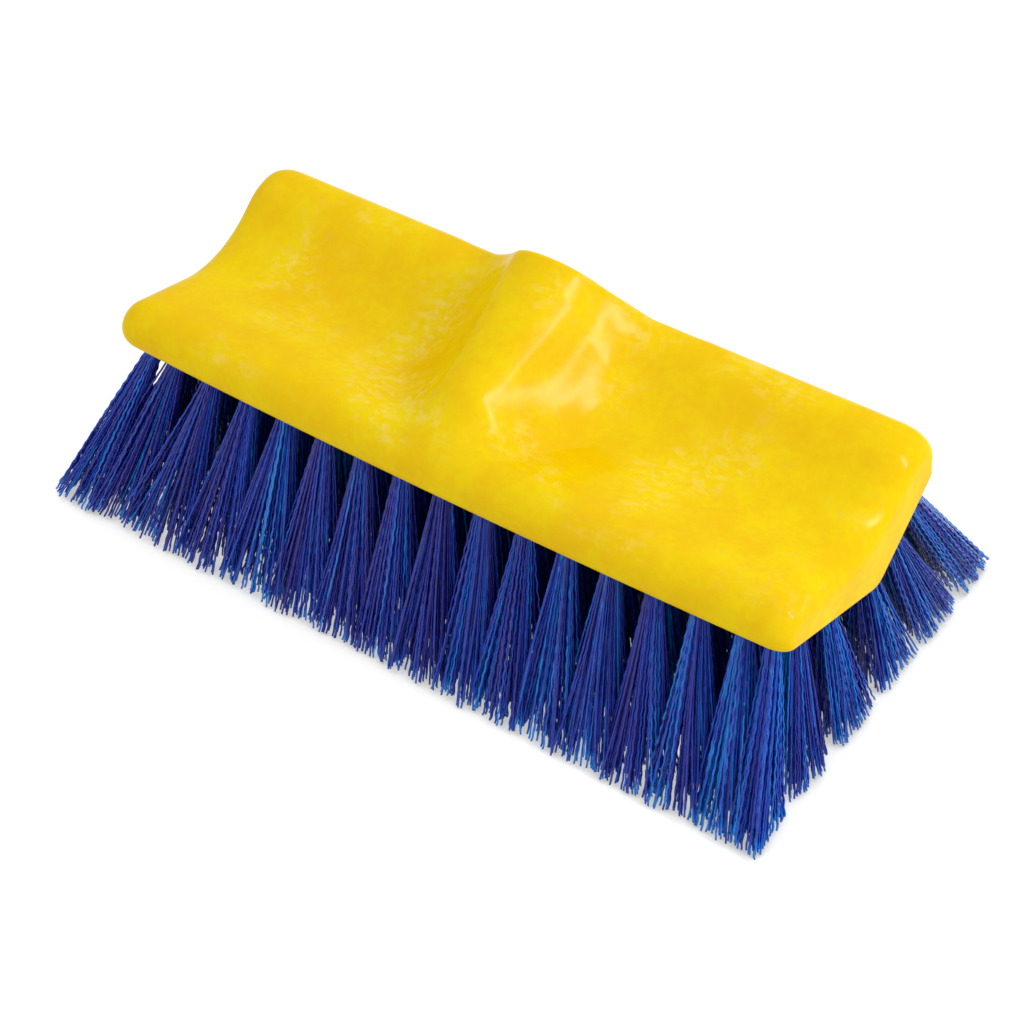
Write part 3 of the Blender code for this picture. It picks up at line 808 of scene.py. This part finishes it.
def stripsOf(row):
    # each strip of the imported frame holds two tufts, and the last of a row any tuft left over
    tufts, size = row["tufts"], rowSet["perStrip"]
    count = len(tufts) // size
    return [tufts[i * size:(i + 1) * size] for i in range(count - 1)] + [tufts[(count - 1) * size:]]


for row in rows:
    for number, xs in enumerate(stripsOf(row), 1):
        bristles = buildBristles(f"{row['name']}_bristles_{number:02d}", row, xs)
        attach(bristles, "root")
        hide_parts(f"{row['name']}_tufts_{number:02d}")
print("bristles made")


# Floor, lamps, world and camera

studioSet = {
    "target": (0.00998, -0.02029, 0.02912), "distance": 0.7592, "azimuth": 35.11, "elevation": 42.27,
    "lens": 80.88, "sensor": 36.0, "clipEnd": 20.0,
    "worldLight": 0.77,
    # the floor as light meets it, as it is seen, and how much it glows there
    "floorSize": 6.0, "floorLit": shade(236, 236, 236), "floorSeen": shade(190, 190, 190), "floorGlow": 0.68,
    # painted shadow: a tight dark line on the floor under the tips, from an occlusion node
    "paintedShadowReach": 0.008, "paintedShadowSamples": 8, "paintedShadowEdges": (0.35, 0.85), "paintedShadowGlow": 0.48,
    # name: place, size, size across, watts, whether the plastic mirrors it
    "lamps": {
        "rightStrip": ((0.911, 0.082, 0.788), 0.09, 0.56, 4.0, True),
        "backFill": ((-0.5, 1.4, 1.0), 1.4, 0.6, 2.8, False),
    },
}


def buildFloor():
    s = studioSet
    material, kit = newMaterial("floor_white")
    lit = kit.node("ShaderNodeBsdfDiffuse", None, {"Color": s["floorLit"]})
    pale = kit.node("ShaderNodeBsdfDiffuse", None, {"Color": s["floorSeen"]})
    glow = kit.node("ShaderNodeEmission", None, {"Color": white, "Strength": s["floorGlow"]})
    bright = kit.node("ShaderNodeAddShader", None, {0: pale, 1: glow})
    # painted shadow: where the occlusion node finds the tips close, the seen floor fades to a dimmer glow
    paintedShadow = kit.node("ShaderNodeEmission", None, {"Color": white, "Strength": s["paintedShadowGlow"]})
    clear = kit.node("ShaderNodeAmbientOcclusion", {"samples": s["paintedShadowSamples"]},
                     {"Distance": s["paintedShadowReach"]}, "AO")
    look = kit.node("ShaderNodeMixShader", None, {0: kit.spread(clear, *s["paintedShadowEdges"]), 1: paintedShadow, 2: bright})
    surface = kit.node("ShaderNodeMixShader", None, {0: kit.seen(), 1: lit, 2: look})
    kit.node("ShaderNodeOutputMaterial", None, {"Surface": surface})
    size = s["floorSize"] / 2
    mesh = meshFromLists("floor", [(-size, -size, 0), (size, -size, 0), (size, size, 0), (-size, size, 0)],
                         [(0, 1, 2, 3)])
    addObject("floor", mesh, material)


def buildWorld():
    world = bpy.data.worlds.new("studio")
    bpy.context.scene.world = world
    world.use_nodes = True
    kit = NodeKit(world.node_tree)
    light = kit.node("ShaderNodeBackground", None, {"Color": white, "Strength": studioSet["worldLight"]})
    backdrop = kit.node("ShaderNodeBackground", None, {"Color": white, "Strength": 1.0})
    surface = kit.node("ShaderNodeMixShader", None, {0: kit.seen(), 1: light, 2: backdrop})
    kit.node("ShaderNodeOutputWorld", None, {"Surface": surface})


def buildLamps():
    for name, (place, size, across, watts, mirrored) in studioSet["lamps"].items():
        light = bpy.data.lights.new(name, "AREA")
        light.shape, light.size, light.size_y, light.energy = "RECTANGLE", size, across, watts
        lamp = bpy.data.objects.new(name, light)
        bpy.context.scene.collection.objects.link(lamp)
        lamp.location = place
        aim = Vector(studioSet["target"]) - Vector(place)
        lamp.rotation_euler = aim.to_track_quat("-Z", "Y").to_euler()
        lamp.visible_glossy = mirrored


def buildCamera():
    lens = bpy.data.cameras.new("camera")
    lens.lens, lens.sensor_width, lens.clip_end = studioSet["lens"], studioSet["sensor"], studioSet["clipEnd"]
    camera = bpy.data.objects.new("camera", lens)
    bpy.context.scene.collection.objects.link(camera)
    a, e = math.radians(studioSet["azimuth"]), math.radians(studioSet["elevation"])
    back = Vector((math.sin(a) * math.cos(e), -math.cos(a) * math.cos(e), math.sin(e)))
    camera.location = Vector(studioSet["target"]) + back * studioSet["distance"]
    camera.rotation_euler = (-back).to_track_quat("-Z", "Y").to_euler()
    bpy.context.scene.camera = camera


buildFloor()
buildWorld()
buildLamps()
buildCamera()
bpy.context.scene.view_settings.view_transform = "Standard"
print("studio made")
